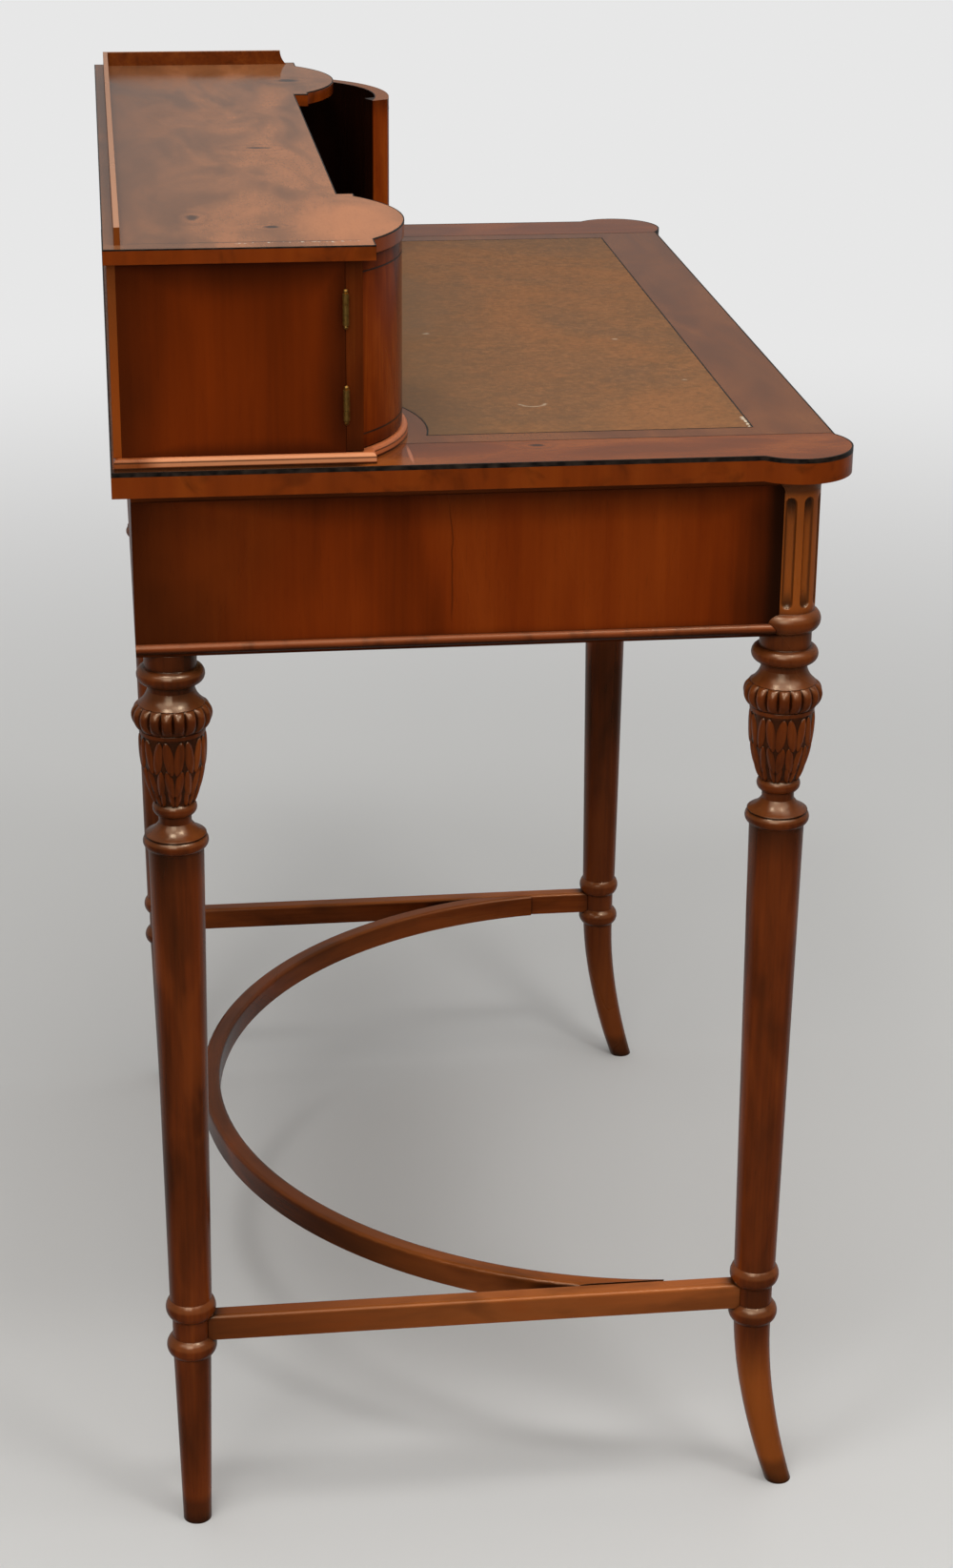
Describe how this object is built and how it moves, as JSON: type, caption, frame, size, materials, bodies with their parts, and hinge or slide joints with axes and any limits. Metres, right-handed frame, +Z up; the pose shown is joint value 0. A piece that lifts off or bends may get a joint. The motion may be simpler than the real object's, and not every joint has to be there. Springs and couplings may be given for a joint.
{
  "type": "bonheur du jour writing desk",
  "caption": "Lady's writing desk on turned, fluted legs with a hoop stretcher, an inset leather top, a frieze drawer and a low upper case with bow-fronted cupboards.",
  "frame": {"origin": "on the floor below the middle of the desk's outline", "axes": "+Z up, the sitter at -Y, the sitter's right hand and the open cupboard at +X"},
  "size_m": [0.739, 0.456, 0.903],
  "materials": {
    "leg_wood": "polished dark red-brown turned wood",
    "veneer": "polished red-brown veneer",
    "top_wood": "glossy polished brown veneer",
    "inner_wood": "plain unpolished drawer wood",
    "leather": "worn olive-brown writing leather",
    "brass": "aged brass",
    "screw_steel": "plain steel wood screws"
  },
  "bodies": {
    "carcase": {"front_leg_left": "leg_wood", "front_leg_right": "leg_wood", "back_leg_left": "leg_wood", "back_leg_right": "leg_wood", "end_stretcher_left": "leg_wood", "end_stretcher_right": "leg_wood", "hoop_stretcher": "leg_wood", "frieze_end_left": "veneer", "frieze_end_right": "veneer", "front_stile_left": "veneer", "front_stile_right": "veneer", "frieze_back": "veneer", "front_rail_lower": "veneer", "front_rail_upper": "veneer", "frieze_beads": "veneer", "top_coves": "veneer", "case_side_left": "veneer", "case_side_right": "veneer", "case_partition_left": "veneer", "case_partition_right": "veneer", "case_back": "veneer", "desk_top": "top_wood", "top_clamp_left": "top_wood", "top_clamp_right": "top_wood", "case_base": "top_wood", "case_top": "top_wood", "gallery_back": "top_wood", "gallery_end": "top_wood", "back_corner_blocks": "inner_wood", "drawer_runners": "inner_wood", "drawer_kickers": "inner_wood", "case_shelf": "inner_wood", "writing_leather": "leather", "left_hinge_frame_leaves": "brass", "right_hinge_frame_leaves": "brass", "left_hinge_pins": "brass", "right_hinge_pins": "brass", "top_screws": "screw_steel", "case_screws": "screw_steel"},
    "left_door": {"left_door": "veneer", "left_hinge_door_leaves": "brass"},
    "right_door": {"right_door": "veneer", "right_hinge_door_leaves": "brass"},
    "frieze_drawer": {"frieze_drawer_front": "veneer", "frieze_drawer_sides": "inner_wood", "frieze_drawer_back": "inner_wood", "frieze_drawer_bottom": "inner_wood", "frieze_drawer_knobs": "brass"},
    "lower_drawer": {"lower_drawer_front": "veneer", "lower_drawer_sides": "inner_wood", "lower_drawer_back": "inner_wood", "lower_drawer_bottom": "inner_wood", "lower_drawer_knobs": "brass"},
    "upper_drawer": {"upper_drawer_front": "veneer", "upper_drawer_sides": "inner_wood", "upper_drawer_back": "inner_wood", "upper_drawer_bottom": "inner_wood", "upper_drawer_knobs": "brass"}
  },
  "joints": [
    {"name": "left_door_hinge", "type": "hinge", "parent": "carcase", "child": "left_door", "pos_m": [-0.3529, 0.0869, 0.825], "axis": [0, 0, -1], "range_deg": [0, 170]},
    {"name": "right_door_hinge", "type": "hinge", "parent": "carcase", "child": "right_door", "pos_m": [0.3529, 0.0869, 0.825], "axis": [0, 0, 1], "range_deg": [-27, 143]},
    {"name": "frieze_drawer_slide", "type": "slide", "parent": "carcase", "child": "frieze_drawer", "axis": [0, -1, 0], "range_m": [0, 0.28]},
    {"name": "lower_drawer_slide", "type": "slide", "parent": "carcase", "child": "lower_drawer", "axis": [0, -1, 0], "range_m": [0, 0.09]},
    {"name": "upper_drawer_slide", "type": "slide", "parent": "carcase", "child": "upper_drawer", "axis": [0, -1, 0], "range_m": [0, 0.09]}
  ]
}
